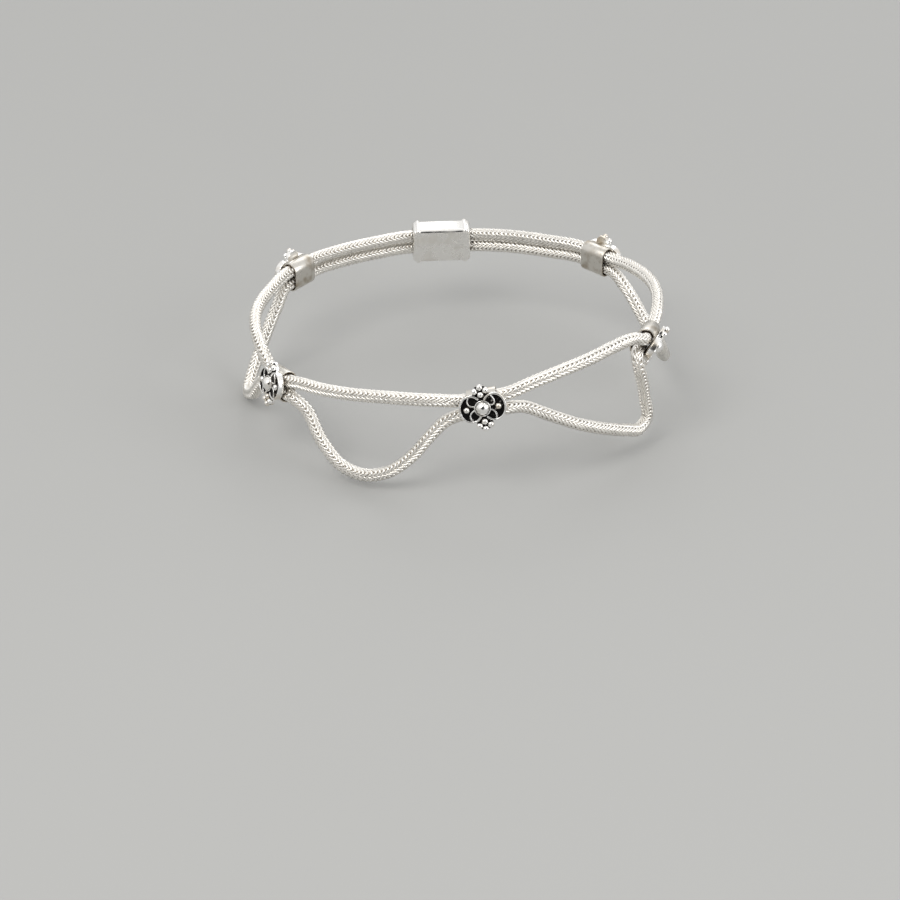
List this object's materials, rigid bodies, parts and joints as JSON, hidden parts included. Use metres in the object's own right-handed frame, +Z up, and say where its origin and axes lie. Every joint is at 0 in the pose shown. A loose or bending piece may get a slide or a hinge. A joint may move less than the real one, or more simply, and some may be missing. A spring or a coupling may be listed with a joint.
{
  "type": "payal anklet",
  "caption": "Silver payal anklet: two woven chains, the lower one hanging in swags, run through flower ornaments with dark recesses, and a plain clasp closes the loop.",
  "frame": {"origin": "middle of the ankle that the loop goes round, at the height where the loop is worn", "axes": "+X along the longer way across the loop, towards the right-hand ornament; +Y to the back of the ankle, where the clasp is; +Z up the leg"},
  "size_m": [0.0865, 0.0747, 0.0261],
  "materials": {
    "woven_silver": "warm white silver wire, finely woven, satin",
    "polished_silver": "polished silver, blackened in the recesses of the ornaments"
  },
  "bodies": {
    "root": {"strand_upper": "woven_silver", "strand_lower": "woven_silver", "ornament_left": "polished_silver", "ornament_centre": "polished_silver", "ornament_right": "polished_silver", "ornament_back_left": "polished_silver", "ornament_back_right": "polished_silver", "clasp": "polished_silver"}
  },
  "joints": []
}
